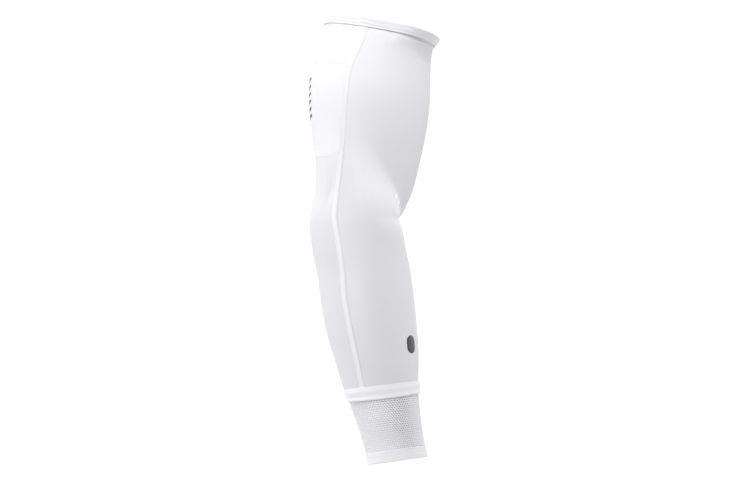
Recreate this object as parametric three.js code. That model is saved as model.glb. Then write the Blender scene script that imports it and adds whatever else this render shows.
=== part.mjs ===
// A compression sleeve for the right arm, in the form that it has on a slightly bent arm.
// Two knitted panels make the tube, with a patch pocket behind the upper arm and a net cuff at the wrist.
// Lengths are in millimetres and angles in degrees.
// +Z points up the arm, +X to its front and -Y to its outer side.
// The origin is the middle of the upper rim.
import * as THREE from "three";

// Form over the fabric: depth is front to back, and width is side to side.
const SLEEVE_LENGTH = 409;
const RIM_DEPTH = 107.5;
const RIM_WIDTH = 98;
const BICEPS_DEPTH = 114;
const BICEPS_WIDTH = 104;
const ELBOW_DEPTH = 87;
const ELBOW_WIDTH = 84;
const FOREARM_DEPTH = 88;
const FOREARM_WIDTH = 82;
const WRIST_DEPTH = 55.5;
const WRIST_WIDTH = 45;

// Fabric, bands and seams.
const FABRIC_THICKNESS = 1;
const SEWN_GAP = 0.3;
const TOP_BAND_HEIGHT = 7.2;
const TOP_BAND_PROUD = 1.2;
const WRIST_BAND_HEIGHT = 11;
const WRIST_BAND_PROUD = 0.8;
const CUFF_NET_HEIGHT = 48.5;
const CUFF_HEM_HEIGHT = 10.5;
const CUFF_HEM_PROUD = 0.6;
const TAPE_WIDTH = 5.5;
const TAPE_THICKNESS = 0.9;
const TAPE_RAMP = 3;

// Patch pocket, open at its top edge.
const POCKET_DOWN = 41.5;
const POCKET_HEIGHT = 83.5;
const POCKET_SCOOP = 2.5;
const POCKET_GAPE = 1.4;
const POCKET_GAPE_REACH = 30;

// Printed reflective marks: six slanted dashes on the pocket and one bar near the wrist.
const PRINT_THICKNESS = 0.4;
const DASH_COUNT = 6;
const DASH_DOWN = 16.5;
const DASH_PITCH = 6.5;
const DASH_WIDTH = 24;
const DASH_HEIGHT = 1.8;
const DASH_GROWTH = 0.2;
const DASH_SLANT = 8;
const DASH_ANGLE = 177;
const BAR_ABOVE_BAND = 35;
const BAR_ANGLE = 34;
const BAR_HEIGHT = 17;
const BAR_WIDTH = 12;

// Faces round each panel, across a tape, and across and down a print.
const FRONT_COLUMNS = 26;
const BACK_COLUMNS = 14;
const TAPE_COLUMNS = 2;
const PRINT_COLUMNS = 6;
const PRINT_ROWS = 2;

// Sections of the arm from the upper rim to the lower one.
// down, x and y are shares of the sleeve's length: the section's place below the rim and its middle.
// slope is how far the front hangs below the back, and rise how far the outer side stands above the inner.
// skew moves the widest place to the front, and seam is the angle from the front round to either seam.
// rows is the number of face rows down to the next section.
const SECTIONS = [
  {
    down: 0, x: 0, y: 0, slope: 12.5, rise: 1, skew: 0.42, seam: 122, rows: 1,
    depth: RIM_DEPTH, width: RIM_WIDTH,
  },
  {
    down: 0.02, x: -0.01, y: 0, slope: 11.5, rise: 1.5, skew: 0.38, seam: 119, rows: 2,
    depth: 0.985 * RIM_DEPTH, width: 0.98 * RIM_WIDTH,
  },
  {
    down: 0.05, x: -0.0175, y: 0, slope: 10, rise: 1.5, skew: 0.18, seam: 112.5, rows: 2,
    depth: 0.945 * BICEPS_DEPTH, width: 0.94 * BICEPS_WIDTH,
  },
  {
    down: 0.11, x: -0.0275, y: 0, slope: 8, rise: 1.5, skew: 0.05, seam: 113.5, rows: 2,
    depth: 0.985 * BICEPS_DEPTH, width: 0.98 * BICEPS_WIDTH,
  },
  {
    down: 0.165, x: -0.0315, y: 0, slope: 6, rise: 2, skew: 0, seam: 113.5, rows: 3,
    depth: BICEPS_DEPTH, width: BICEPS_WIDTH,
  },
  {
    down: 0.235, x: -0.034, y: 0, slope: 4.5, rise: 2, skew: 0, seam: 115.5, rows: 3,
    depth: 0.955 * BICEPS_DEPTH, width: 0.96 * BICEPS_WIDTH,
  },
  {
    down: 0.305, x: -0.037, y: 0, slope: 3, rise: 2, skew: 0, seam: 119.5, rows: 5,
    depth: 0.875 * BICEPS_DEPTH, width: 0.89 * BICEPS_WIDTH,
  },
  {
    down: 0.375, x: -0.045, y: 0, slope: 1.5, rise: 2, skew: 0, seam: 122, rows: 5,
    depth: 1.065 * ELBOW_DEPTH, width: 1.035 * ELBOW_WIDTH,
  },
  {
    down: 0.43, x: -0.061, y: 0, slope: 0, rise: 2.5, skew: 0, seam: 118, rows: 2,
    depth: 1.015 * ELBOW_DEPTH, width: ELBOW_WIDTH,
  },
  {
    down: 0.452, x: -0.066, y: -0.001, slope: -1.5, rise: 2.5, skew: 0, seam: 115.5, rows: 3,
    depth: 0.995 * ELBOW_DEPTH, width: ELBOW_WIDTH,
  },
  {
    down: 0.505, x: -0.0595, y: -0.003, slope: -3, rise: 3, skew: 0, seam: 114, rows: 3,
    depth: ELBOW_DEPTH, width: ELBOW_WIDTH,
  },
  {
    down: 0.56, x: -0.047, y: -0.006, slope: -4.5, rise: 3, skew: 0, seam: 116.5, rows: 3,
    depth: FOREARM_DEPTH, width: FOREARM_WIDTH,
  },
  {
    down: 0.63, x: -0.037, y: -0.011, slope: -5.5, rise: 3.5, skew: 0, seam: 119, rows: 3,
    depth: FOREARM_DEPTH, width: 0.97 * FOREARM_WIDTH,
  },
  {
    down: 0.7, x: -0.027, y: -0.016, slope: -6, rise: 3.5, skew: 0, seam: 118, rows: 3,
    depth: 0.97 * FOREARM_DEPTH, width: 0.92 * FOREARM_WIDTH,
  },
  {
    down: 0.77, x: -0.014, y: -0.022, slope: -6.5, rise: 4.5, skew: 0, seam: 119.5, rows: 3,
    depth: 0.89 * FOREARM_DEPTH, width: 0.83 * FOREARM_WIDTH,
  },
  {
    down: 0.83, x: -0.005, y: -0.028, slope: -7, rise: 5.5, skew: 0, seam: 120.5, rows: 2,
    depth: 1.27 * WRIST_DEPTH, width: 1.31 * WRIST_WIDTH,
  },
  {
    down: 0.885, x: 0.007, y: -0.034, slope: -7.4, rise: 6, skew: 0, seam: 120, rows: 2,
    depth: 1.13 * WRIST_DEPTH, width: 1.17 * WRIST_WIDTH,
  },
  {
    down: 0.945, x: 0.021, y: -0.041, slope: -7.8, rise: 7, skew: 0, seam: 120, rows: 2,
    depth: 1.035 * WRIST_DEPTH, width: 1.05 * WRIST_WIDTH,
  },
  {
    down: 1, x: 0.033, y: -0.048, slope: -8.2, rise: 7, skew: 0, seam: 120, rows: 0,
    depth: WRIST_DEPTH, width: WRIST_WIDTH,
  },
];

// Folds and dents in the fabric, each a soft ridge, or a valley where its height is negative.
// down is a share of the sleeve's length, and angle is where it lies round the arm.
// turn swings its lower end towards smaller angles.
// length, breadth and height are shares of the elbow's depth.
const FOLDS = [
  { down: 0.447, angle: 0, turn: 90, length: 0.3, breadth: 0.05, height: -0.018 },
  { down: 0.38, angle: 132, turn: 0, length: 0.17, breadth: 0.045, height: -0.018 },
  { down: 0.38, angle: -132, turn: 0, length: 0.17, breadth: 0.045, height: -0.018 },
  { down: 0.055, angle: 34, turn: 90, length: 0.25, breadth: 0.11, height: -0.026 },
];

// The crease in the bend of the elbow is lowest at the front, and climbs at a slant round both sides.
// CREASE_DOWN is its lowest place as a share of the length, and CREASE_CLIMB how steeply it climbs.
// The cloth above it sinks in, and the lobe of cloth below it swells out.
// It fades out over CREASE_FADE degrees to either side of CREASE_END.
const CREASE_DOWN = 0.4499;
const CREASE_ROUND = 4;
const CREASE_CLIMB = 0.98;
const CREASE_DEPTH = 5.2;
const CREASE_ABOVE = 15;
const CREASE_BELOW = 10;
const CREASE_END = 92;
const CREASE_FADE = 24;
const LOBE_HEIGHT = 4.6;
const LOBE_DOWN = 27;
const LOBE_BREADTH = 17;

const radians = THREE.MathUtils.degToRad;
const WRIST_BAND_DOWN = SLEEVE_LENGTH - CUFF_HEM_HEIGHT - CUFF_NET_HEIGHT - WRIST_BAND_HEIGHT;
const BAR_DOWN = WRIST_BAND_DOWN - BAR_ABOVE_BAND;

// One value of the sections table, run smoothly through its rows.
function valueAt(key, down) {
  const last = SECTIONS.length - 1;
  const next = SECTIONS.findIndex((section) => section.down > down);
  const index = next < 1 ? last - 1 : next - 1;
  const [from, to] = [SECTIONS[index], SECTIONS[index + 1]];
  const span = to.down - from.down;
  const steepness = (row) => {
    const [before, after] = [SECTIONS[Math.max(row - 1, 0)], SECTIONS[Math.min(row + 1, last)]];
    return (after[key] - before[key]) / (after.down - before.down);
  };
  const t = (down - from.down) / span;
  const ease = t * t * (3 - 2 * t);
  const bend = t * (1 - t) * span * ((1 - t) * steepness(index) - t * steepness(index + 1));
  return from[key] * (1 - ease) + to[key] * ease + bend;
}

// The arc in degrees that a length takes up round the arm.
function arcOf(length, down) {
  const radius = (valueAt("depth", down) + valueAt("width", down)) / 4;
  return THREE.MathUtils.radToDeg(length / radius);
}

// How far the folds lift the fabric, with the angle counted either way from the front.
function foldHeight(down, angle) {
  let height = 0;
  for (const fold of FOLDS) {
    const turned = THREE.MathUtils.euclideanModulo(angle - fold.angle + 180, 360) - 180;
    const round = turned / arcOf(1, down);
    const below = (down - fold.down) * SLEEVE_LENGTH;
    const [cos, sin] = [Math.cos(radians(fold.turn)), Math.sin(radians(fold.turn))];
    const along = (below * cos - round * sin) / (fold.length * ELBOW_DEPTH);
    const across = (below * sin + round * cos) / (fold.breadth * ELBOW_DEPTH);
    height += fold.height * ELBOW_DEPTH * Math.exp(-along * along - across * across);
  }
  return height;
}

// How far the elbow's crease and the lobe below it lift the fabric.
function creaseHeight(down, angle) {
  const turned = Math.abs(THREE.MathUtils.euclideanModulo(angle + 180, 360) - 180);
  const round = turned / arcOf(1, down);
  const slant = Math.hypot(round, CREASE_ROUND);
  const line = CREASE_DOWN * SLEEVE_LENGTH - (slant - CREASE_ROUND) * CREASE_CLIMB;
  const below = (down * SLEEVE_LENGTH - line) / Math.hypot(1, (CREASE_CLIMB * round) / slant);
  const sunk = -CREASE_DEPTH * Math.exp(-Math.abs(below) / (below < 0 ? CREASE_ABOVE : CREASE_BELOW));
  const lobe = LOBE_HEIGHT * Math.exp(-(((below - LOBE_DOWN) / LOBE_BREADTH) ** 2));
  const side = 1 - THREE.MathUtils.smoothstep(turned, CREASE_END - CREASE_FADE, CREASE_END + CREASE_FADE);
  const deep = 0.25 + 0.75 * THREE.MathUtils.smoothstep(round, 0, 20);
  const swollen = THREE.MathUtils.smoothstep(round, 0, 30);
  return side * (deep * sunk + swollen * lobe);
}

// A point over the fabric, where down is a share of the length and offset a height over the outer face.
function surfacePoint(down, angle, offset) {
  const [cos, sin] = [Math.cos(radians(angle)), Math.sin(radians(angle))];
  const [slope, rise] = [radians(valueAt("slope", down)), radians(valueAt("rise", down))];
  const half = valueAt("depth", down) / 2;
  const side = valueAt("width", down) / 2;
  const skew = valueAt("skew", down);
  const reach = half * (cos > 0 ? 1 - skew : 1 + skew);
  const normal = new THREE.Vector2(cos / reach, sin / side).normalize();
  const lift = offset + foldHeight(down, angle) + creaseHeight(down, angle);
  const forward = skew * half + reach * cos + lift * normal.x;
  const outward = side * sin + lift * normal.y;
  return new THREE.Vector3(
    valueAt("x", down) * SLEEVE_LENGTH + forward * Math.cos(slope),
    valueAt("y", down) * SLEEVE_LENGTH - outward * Math.cos(rise),
    -down * SLEEVE_LENGTH - forward * Math.sin(slope) + outward * Math.sin(rise),
  );
}

// The places down the sleeve where rows of faces meet, between two lengths below the rim.
function rowsBetween(top, bottom) {
  const rows = [];
  SECTIONS.forEach((section, index) => {
    for (let row = 0; row < section.rows; row += 1) {
      rows.push(THREE.MathUtils.lerp(section.down, SECTIONS[index + 1].down, row / section.rows));
    }
  });
  const [first, last, clear] = [top, bottom, FABRIC_THICKNESS].map((length) => length / SLEEVE_LENGTH);
  return [first, ...rows.filter((down) => down > first + clear && down < last - clear), last];
}

// A closed wall between an inner and an outer height over the fabric.
// place gives the share down and the angle of each corner of the grid, and a ring's last column is its first.
function wall({ rows, columns, ring = false, place, inner, outer }) {
  const corners = ring ? columns : columns + 1;
  const positions = [];
  for (const height of [outer, inner]) {
    for (let row = 0; row <= rows; row += 1) {
      for (let column = 0; column < corners; column += 1) {
        const { down, angle } = place(row, column);
        positions.push(...surfacePoint(down, angle, height(down, angle)).toArray());
      }
    }
  }
  const layer = (rows + 1) * corners;
  const corner = (face, row, column) => face * layer + row * corners + (column % corners);
  const indices = [];
  const quad = (a, b, c, d) => indices.push(a, b, c, a, c, d);
  for (let row = 0; row < rows; row += 1) {
    for (let column = 0; column < columns; column += 1) {
      const [top, bottom, left, right] = [row, row + 1, column, column + 1];
      quad(corner(0, top, left), corner(0, top, right), corner(0, bottom, right), corner(0, bottom, left));
      quad(corner(1, top, left), corner(1, bottom, left), corner(1, bottom, right), corner(1, top, right));
    }
  }
  for (let column = 0; column < columns; column += 1) {
    const [left, right] = [column, column + 1];
    quad(corner(0, 0, left), corner(1, 0, left), corner(1, 0, right), corner(0, 0, right));
    quad(corner(0, rows, left), corner(0, rows, right), corner(1, rows, right), corner(1, rows, left));
  }
  for (let row = 0; row < rows && !ring; row += 1) {
    const [top, bottom] = [row, row + 1];
    quad(corner(0, top, 0), corner(0, bottom, 0), corner(1, bottom, 0), corner(1, top, 0));
    quad(
      corner(0, top, columns), corner(1, top, columns), corner(1, bottom, columns), corner(0, bottom, columns),
    );
  }
  const geometry = new THREE.BufferGeometry();
  geometry.setAttribute("position", new THREE.Float32BufferAttribute(positions, 3));
  geometry.setIndex(indices);
  return geometry;
}

const evenHeight = (height) => () => height;

// Angles of a panel's columns from one seam to the other, with the tapes' edges among them.
// The back panel runs round behind, and its pocket leaves out the columns under the tapes.
function panelAngle(column, columns, isBack, down) {
  const seam = valueAt("seam", down);
  const [start, end] = isBack ? [seam, 360 - seam] : [-seam, seam];
  const cut = arcOf(SEWN_GAP / 2, down);
  const besideTape = arcOf(TAPE_WIDTH / 2 + SEWN_GAP, down);
  if (column === 0) return start + cut;
  if (column === columns) return end - cut;
  const share = (column - 1) / (columns - 2);
  return THREE.MathUtils.lerp(start + besideTape, end - besideTape, share);
}

function panel(isBack) {
  const columns = isBack ? BACK_COLUMNS : FRONT_COLUMNS;
  const downs = rowsBetween(TOP_BAND_HEIGHT + SEWN_GAP, WRIST_BAND_DOWN - SEWN_GAP);
  return wall({
    rows: downs.length - 1,
    columns,
    place: (row, column) => ({
      down: downs[row],
      angle: panelAngle(column, columns, isBack, downs[row]),
    }),
    inner: evenHeight(-FABRIC_THICKNESS),
    outer: evenHeight(0),
  });
}

function topBand(isBack) {
  const columns = isBack ? BACK_COLUMNS : FRONT_COLUMNS;
  const downs = rowsBetween(0, TOP_BAND_HEIGHT);
  return wall({
    rows: downs.length - 1,
    columns,
    place: (row, column) => ({
      down: downs[row],
      angle: panelAngle(column, columns, isBack, downs[row]),
    }),
    inner: evenHeight(-FABRIC_THICKNESS),
    outer: evenHeight(TOP_BAND_PROUD),
  });
}

// A ring round the whole arm.
function ring(top, height, proud) {
  const downs = rowsBetween(top, top + height);
  const columns = FRONT_COLUMNS + BACK_COLUMNS;
  return wall({
    rows: downs.length - 1,
    columns,
    ring: true,
    place: (row, column) => ({ down: downs[row], angle: (column * 360) / columns }),
    inner: evenHeight(-FABRIC_THICKNESS),
    outer: evenHeight(proud),
  });
}

// The tape runs over the top band and then down to the wrist band, and side is 1 outside and -1 inside.
function seamTape(side) {
  const bandEnd = (TOP_BAND_HEIGHT + SEWN_GAP) / SLEEVE_LENGTH;
  const ramp = TAPE_RAMP / SLEEVE_LENGTH;
  const below = rowsBetween(TOP_BAND_HEIGHT + SEWN_GAP + TAPE_RAMP, WRIST_BAND_DOWN - SEWN_GAP);
  const downs = [0, bandEnd, ...below];
  const lift = (down) => SEWN_GAP + TOP_BAND_PROUD * THREE.MathUtils.clamp(1 - (down - bandEnd) / ramp, 0, 1);
  return wall({
    rows: downs.length - 1,
    columns: TAPE_COLUMNS,
    place: (row, column) => {
      const across = TAPE_WIDTH * (column / TAPE_COLUMNS - 0.5);
      return { down: downs[row], angle: side * valueAt("seam", downs[row]) + arcOf(across, downs[row]) };
    },
    inner: lift,
    outer: (down) => lift(down) + TAPE_THICKNESS,
  });
}

// How far the pocket's inner face stands off the panel: most in the middle of its open edge.
function pocketLift(down, angle) {
  const below = (down * SLEEVE_LENGTH - POCKET_DOWN) / POCKET_GAPE_REACH;
  const across = Math.cos((Math.PI / 2) * ((angle - 180) / (180 - valueAt("seam", down))));
  return SEWN_GAP + POCKET_GAPE * Math.max(1 - below, 0) ** 2 * Math.max(across, 0);
}

// The open edge dips a little between the seams, and the rows below it follow.
function pocket() {
  const downs = rowsBetween(POCKET_DOWN, POCKET_DOWN + POCKET_HEIGHT);
  const bottom = downs[downs.length - 1];
  const columns = BACK_COLUMNS - 2;
  return wall({
    rows: downs.length - 1,
    columns,
    place: (row, column) => {
      const dip = (POCKET_SCOOP / SLEEVE_LENGTH) * Math.sin((Math.PI * column) / columns);
      const down = downs[row] + (dip * (bottom - downs[row])) / (bottom - downs[0]);
      return { down, angle: panelAngle(column + 1, BACK_COLUMNS, true, downs[row]) };
    },
    inner: pocketLift,
    outer: (down, angle) => pocketLift(down, angle) + FABRIC_THICKNESS,
  });
}

// A slanted dash that wraps round the back of the pocket, each a little taller than the one above it.
function reflectiveDash(number) {
  const middle = POCKET_DOWN + DASH_DOWN + number * DASH_PITCH;
  const height = DASH_HEIGHT + number * DASH_GROWTH;
  const lift = (down, angle) => pocketLift(down, angle) + FABRIC_THICKNESS + SEWN_GAP;
  return wall({
    rows: PRINT_ROWS,
    columns: PRINT_COLUMNS,
    place: (row, column) => {
      const across = DASH_WIDTH * (column / PRINT_COLUMNS - 0.5);
      const below = height * (row / PRINT_ROWS - 0.5) + across * Math.tan(radians(DASH_SLANT));
      return {
        down: (middle + below) / SLEEVE_LENGTH,
        angle: DASH_ANGLE + arcOf(across, middle / SLEEVE_LENGTH),
      };
    },
    inner: lift,
    outer: (down, angle) => lift(down, angle) + PRINT_THICKNESS,
  });
}

// An upright bar with round ends on the forearm.
function reflectiveBar() {
  const radius = BAR_WIDTH / 2;
  return wall({
    rows: PRINT_ROWS,
    columns: PRINT_COLUMNS,
    place: (row, column) => {
      const turn = (Math.PI * column) / PRINT_COLUMNS;
      const half = BAR_HEIGHT / 2 - radius + radius * Math.sin(turn);
      return {
        down: (BAR_DOWN + half * (2 * (row / PRINT_ROWS) - 1)) / SLEEVE_LENGTH,
        angle: BAR_ANGLE - arcOf(radius * Math.cos(turn), BAR_DOWN / SLEEVE_LENGTH),
      };
    },
    inner: evenHeight(SEWN_GAP),
    outer: evenHeight(SEWN_GAP + PRINT_THICKNESS),
  });
}

const knit = { color: 0xf1f1f4, roughness: 0.85, metalness: 0 };
const tape = { color: 0xf6f6f8, roughness: 0.6, metalness: 0 };
const net = { color: 0xe4e4e9, roughness: 0.9, metalness: 0 };
const print = { color: 0x46464a, roughness: 0.35, metalness: 0.2 };

const sleeve = new THREE.Group();

function add(name, geometry, finish) {
  const mesh = new THREE.Mesh(geometry, new THREE.MeshStandardMaterial(finish));
  mesh.name = name;
  sleeve.add(mesh);
}

add("top_band_front", topBand(false), knit);
add("top_band_back", topBand(true), knit);
add("front_panel", panel(false), knit);
add("back_panel", panel(true), knit);
add("back_pocket", pocket(), knit);
add("outer_seam_tape", seamTape(1), tape);
add("inner_seam_tape", seamTape(-1), tape);
add("wrist_band", ring(WRIST_BAND_DOWN, WRIST_BAND_HEIGHT - SEWN_GAP, WRIST_BAND_PROUD), knit);
add("net_cuff", ring(WRIST_BAND_DOWN + WRIST_BAND_HEIGHT, CUFF_NET_HEIGHT - SEWN_GAP, 0), net);
add("wrist_hem", ring(SLEEVE_LENGTH - CUFF_HEM_HEIGHT, CUFF_HEM_HEIGHT, CUFF_HEM_PROUD), knit);
for (let number = 0; number < DASH_COUNT; number += 1) {
  add(`reflective_dash_${number + 1}`, reflectiveDash(number), print);
}
add("reflective_bar", reflectiveBar(), print);

export default sleeve;
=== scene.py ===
"""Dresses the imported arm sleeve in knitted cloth, bands, tapes, net, prints and stitches.

Lengths are in metres and angles in degrees, counted from the front of the arm round by its outer side.
+Z points up the arm, +X to its front and -Y to its outer side, from the middle of the upper rim.
"""

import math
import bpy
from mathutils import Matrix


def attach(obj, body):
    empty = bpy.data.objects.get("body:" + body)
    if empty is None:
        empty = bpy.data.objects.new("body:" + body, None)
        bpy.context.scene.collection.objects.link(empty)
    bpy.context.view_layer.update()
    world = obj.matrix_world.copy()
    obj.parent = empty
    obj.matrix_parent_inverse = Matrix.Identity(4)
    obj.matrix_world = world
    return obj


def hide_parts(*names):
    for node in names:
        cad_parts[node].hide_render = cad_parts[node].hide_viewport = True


bl_info = {
    "name": "Knitted arm sleeve",
    "version": (1, 0, 0),
    "blender": (4, 5, 0),
    "location": "3D View > Sidebar > Arm sleeve",
    "description": "Builds a stretched sports sleeve with its bands, seams, net cuff and prints",
    "category": "Add Mesh",
}

import bpy
import numpy as np
from bpy.props import FloatProperty, FloatVectorProperty, PointerProperty
from bpy.types import Operator, Panel, PropertyGroup
from mathutils import Vector

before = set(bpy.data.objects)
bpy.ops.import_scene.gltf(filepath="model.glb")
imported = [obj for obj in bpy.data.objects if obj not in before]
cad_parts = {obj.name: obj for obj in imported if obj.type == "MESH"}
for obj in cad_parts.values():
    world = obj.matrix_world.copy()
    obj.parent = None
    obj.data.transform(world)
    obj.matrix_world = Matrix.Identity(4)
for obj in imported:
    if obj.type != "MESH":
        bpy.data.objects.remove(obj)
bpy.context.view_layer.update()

# Form over the fabric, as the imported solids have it: depth is front to back, and width is side to side.
SLEEVE_LENGTH = 0.409
RIM_DEPTH = 0.1075
RIM_WIDTH = 0.098
BICEPS_DEPTH = 0.114
BICEPS_WIDTH = 0.104
ELBOW_DEPTH = 0.087
ELBOW_WIDTH = 0.084
FOREARM_DEPTH = 0.088
FOREARM_WIDTH = 0.082
WRIST_DEPTH = 0.0555
WRIST_WIDTH = 0.045

# Bands.
TOP_BAND_HEIGHT = 0.0072
WRIST_BAND_HEIGHT = 0.011
CUFF_NET_HEIGHT = 0.0485
CUFF_HEM_HEIGHT = 0.0105

# Each band's cloth. Columns: height, how proud it stands of the panels, places of its rows of stitches,
# depth of their grooves, roll of its middle, lip at its lower edge, and sag at both sides as a share.
TOP_BAND = (TOP_BAND_HEIGHT, 0.0012, (0.0021, 0.0054), 0.00034, 0, 0, 0)
WRIST_BAND = (WRIST_BAND_HEIGHT - 0.0003, 0.0008, (0.0022, 0.0086), 0.00014, 0.0006, 0.0008, 0.15)
CUFF_HEM = (CUFF_HEM_HEIGHT - 0.0009, 0.0006, (0.0019, 0.0044), 0.00014, 0, 0, 0)

# Tapes, which are lifted by the pocket's side where they cross it.
TAPE_WIDTH = 0.0055
TAPE_LIFT = 0.00008
TAPE_CROWN = 0.00045
TAPE_WAVE_PITCH = 0.0113
TAPE_WAVE = 0.05
TAPE_THIN = 0.5
TAPE_THIN_REACH = 0.06
TAPE_SHORT = 0.0003
TAPE_STEP = 0.0012
TAPE_SEWN_SHARE = 0.995
TAPE_STITCH_IN = 0.0008
TAPE_STITCH_UP = 0.75
POCKET_SIDE = 0.0004
POCKET_SIDE_START = 0.006
POCKET_SIDE_END = 0.014

# Pocket. Its open edge scoops in the middle, gapes, and has a doubled hem.
POCKET_DOWN = 0.0415
POCKET_HEIGHT = 0.0835
POCKET_WIDTH = 0.12
POCKET_SCOOP = 0.0025
POCKET_SCOOP_LOSS = 0.3
POCKET_WAVE = 0.0006
POCKET_HALF_WAVES = 5
POCKET_WAVE_START = 0.6
POCKET_WAVE_FADE = 4
POCKET_GAPE = 0.0014
POCKET_GAPE_REACH = 0.03
POCKET_LIFT = 0.0003
POCKET_HEM = 0.0042
POCKET_UNDER_TAPE = 0.0006
POCKET_SIDE_SHARE = 0.45
POCKET_SIDE_REACH = 0.0045
POCKET_END_REACH = (-0.0005, 0.016)
POCKET_SUNK = 0.0002
POCKET_ROLL = 0.0003
POCKET_ROLL_REACH = 0.0007
POCKET_HEM_STEP = 0.00035
POCKET_STEP = 0.0012
POCKET_COLUMN_STEP = 0.0014
HEM_GROOVE = 0.0004
HEM_GROOVE_DOWN = 0.0016
HEM_GROOVE_BREADTH = 0.0007

# The row of stitches at the pocket's bottom, and the tacks at its lower corners, as shares of the pocket.
POCKET_SEWN_SHARE = 0.97
CORNER_TACK_COUNT = 7
CORNER_TACK_SHARES = (0.955, 0.99)
CORNER_TACK_COLUMNS = ((0.004, 0.022), (0.996, 0.978))

# Prints.
DASH_COUNT = 6
DASH_DOWN = 0.0165
DASH_PITCH = 0.0065
DASH_WIDTH = 0.024
DASH_HEIGHT = 0.0018
DASH_GROWTH = 0.0002
DASH_TAPER = 0.35
DASH_TAPER_POWER = 24
DASH_SLANT = 8
DASH_ANGLE = 177
BAR_ABOVE_BAND = 0.035
BAR_ANGLE = 34
BAR_HEIGHT = 0.017
BAR_WIDTH = 0.012
DASH_GRID = (7, 41)
BAR_GRID = (17, 25)
FILM_THICKNESS = 0.00022
FILM_EDGE = 0.00012
FILM_LIFT = 0.00003
BAR_LIFT = 0.00002

WRIST_BAND_DOWN = SLEEVE_LENGTH - CUFF_HEM_HEIGHT - CUFF_NET_HEIGHT - WRIST_BAND_HEIGHT
NET_DOWN = WRIST_BAND_DOWN + WRIST_BAND_HEIGHT
HEM_DOWN = SLEEVE_LENGTH - CUFF_HEM_HEIGHT
BAR_DOWN = WRIST_BAND_DOWN - BAR_ABOVE_BAND
POCKET_END = POCKET_DOWN + POCKET_HEIGHT

# Widths of cloth round the arm, which set how many columns a piece has and how its knit is laid.
MEAN_GIRTH = 0.27
RIM_GIRTH = 0.33
FRONT_WIDTH = 0.26
BACK_WIDTH = 0.125
NET_GIRTH = 0.172
NET_KNIT_GIRTH = 0.17

# Sections of the arm from the upper rim to the lower one.
# down, x and y are shares of the sleeve's length: the section's place below the rim and its middle.
# slope is how far the front hangs below the back, and rise how far the outer side stands above the inner.
# skew moves the widest place to the front, and seam is the angle from the front round to either seam.
SECTION_COLUMNS = ("down", "x", "y", "slope", "rise", "skew", "seam", "depth", "width")
SECTIONS = np.array([
    (0, 0, 0, 12.5, 1, 0.42, 122, RIM_DEPTH, RIM_WIDTH),
    (0.02, -0.01, 0, 11.5, 1.5, 0.38, 119, 0.985 * RIM_DEPTH, 0.98 * RIM_WIDTH),
    (0.05, -0.0175, 0, 10, 1.5, 0.18, 112.5, 0.945 * BICEPS_DEPTH, 0.94 * BICEPS_WIDTH),
    (0.11, -0.0275, 0, 8, 1.5, 0.05, 113.5, 0.985 * BICEPS_DEPTH, 0.98 * BICEPS_WIDTH),
    (0.165, -0.0315, 0, 6, 2, 0, 113.5, BICEPS_DEPTH, BICEPS_WIDTH),
    (0.235, -0.034, 0, 4.5, 2, 0, 115.5, 0.955 * BICEPS_DEPTH, 0.96 * BICEPS_WIDTH),
    (0.305, -0.037, 0, 3, 2, 0, 119.5, 0.875 * BICEPS_DEPTH, 0.89 * BICEPS_WIDTH),
    (0.375, -0.045, 0, 1.5, 2, 0, 122, 1.065 * ELBOW_DEPTH, 1.035 * ELBOW_WIDTH),
    (0.43, -0.061, 0, 0, 2.5, 0, 118, 1.015 * ELBOW_DEPTH, ELBOW_WIDTH),
    (0.452, -0.066, -0.001, -1.5, 2.5, 0, 115.5, 0.995 * ELBOW_DEPTH, ELBOW_WIDTH),
    (0.505, -0.0595, -0.003, -3, 3, 0, 114, ELBOW_DEPTH, ELBOW_WIDTH),
    (0.56, -0.047, -0.006, -4.5, 3, 0, 116.5, FOREARM_DEPTH, FOREARM_WIDTH),
    (0.63, -0.037, -0.011, -5.5, 3.5, 0, 119, FOREARM_DEPTH, 0.97 * FOREARM_WIDTH),
    (0.7, -0.027, -0.016, -6, 3.5, 0, 118, 0.97 * FOREARM_DEPTH, 0.92 * FOREARM_WIDTH),
    (0.77, -0.014, -0.022, -6.5, 4.5, 0, 119.5, 0.89 * FOREARM_DEPTH, 0.83 * FOREARM_WIDTH),
    (0.83, -0.005, -0.028, -7, 5.5, 0, 120.5, 1.27 * WRIST_DEPTH, 1.31 * WRIST_WIDTH),
    (0.885, 0.007, -0.034, -7.4, 6, 0, 120, 1.13 * WRIST_DEPTH, 1.17 * WRIST_WIDTH),
    (0.945, 0.021, -0.041, -7.8, 7, 0, 120, 1.035 * WRIST_DEPTH, 1.05 * WRIST_WIDTH),
    (1, 0.033, -0.048, -8.2, 7, 0, 120, WRIST_DEPTH, WRIST_WIDTH),
])

# Folds and dents, each a soft ridge, or a valley where its height is negative.
# Columns: down, angle, turn, length, breadth and height, the last three as shares of the elbow's depth.
FOLDS = (
    (0.447, 0, 90, 0.3, 0.05, -0.018),
    (0.38, 132, 0, 0.17, 0.045, -0.018),
    (0.38, -132, 0, 0.17, 0.045, -0.018),
    (0.058, 30, 90, 0.25, 0.15, -0.032),
    (0.16, 78, 0, 0.3, 0.5, 0.008),
)

# The crease in the bend of the elbow: lowest at the front, and climbing at a slant round both sides.
# Names that end in ROUND are lengths round from the front. A pair is where a change starts and ends.
CREASE_DOWN = 0.4499
CREASE_ROUNDING = 0.008
CREASE_CLIMB = 0.98
CREASE_DEPTH = 0.0052
CREASE_FRONT_SHARE = 0.25
CREASE_DEEP_ROUND = (0, 0.02)
CREASE_ABOVE = 0.015
CREASE_BELOW = 0.01
CREASE_SOFTNESS = 0.006
CREASE_SOFT_ROUND = (0.028, 0.062)
CREASE_END = 92
CREASE_FADE = 24

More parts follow.
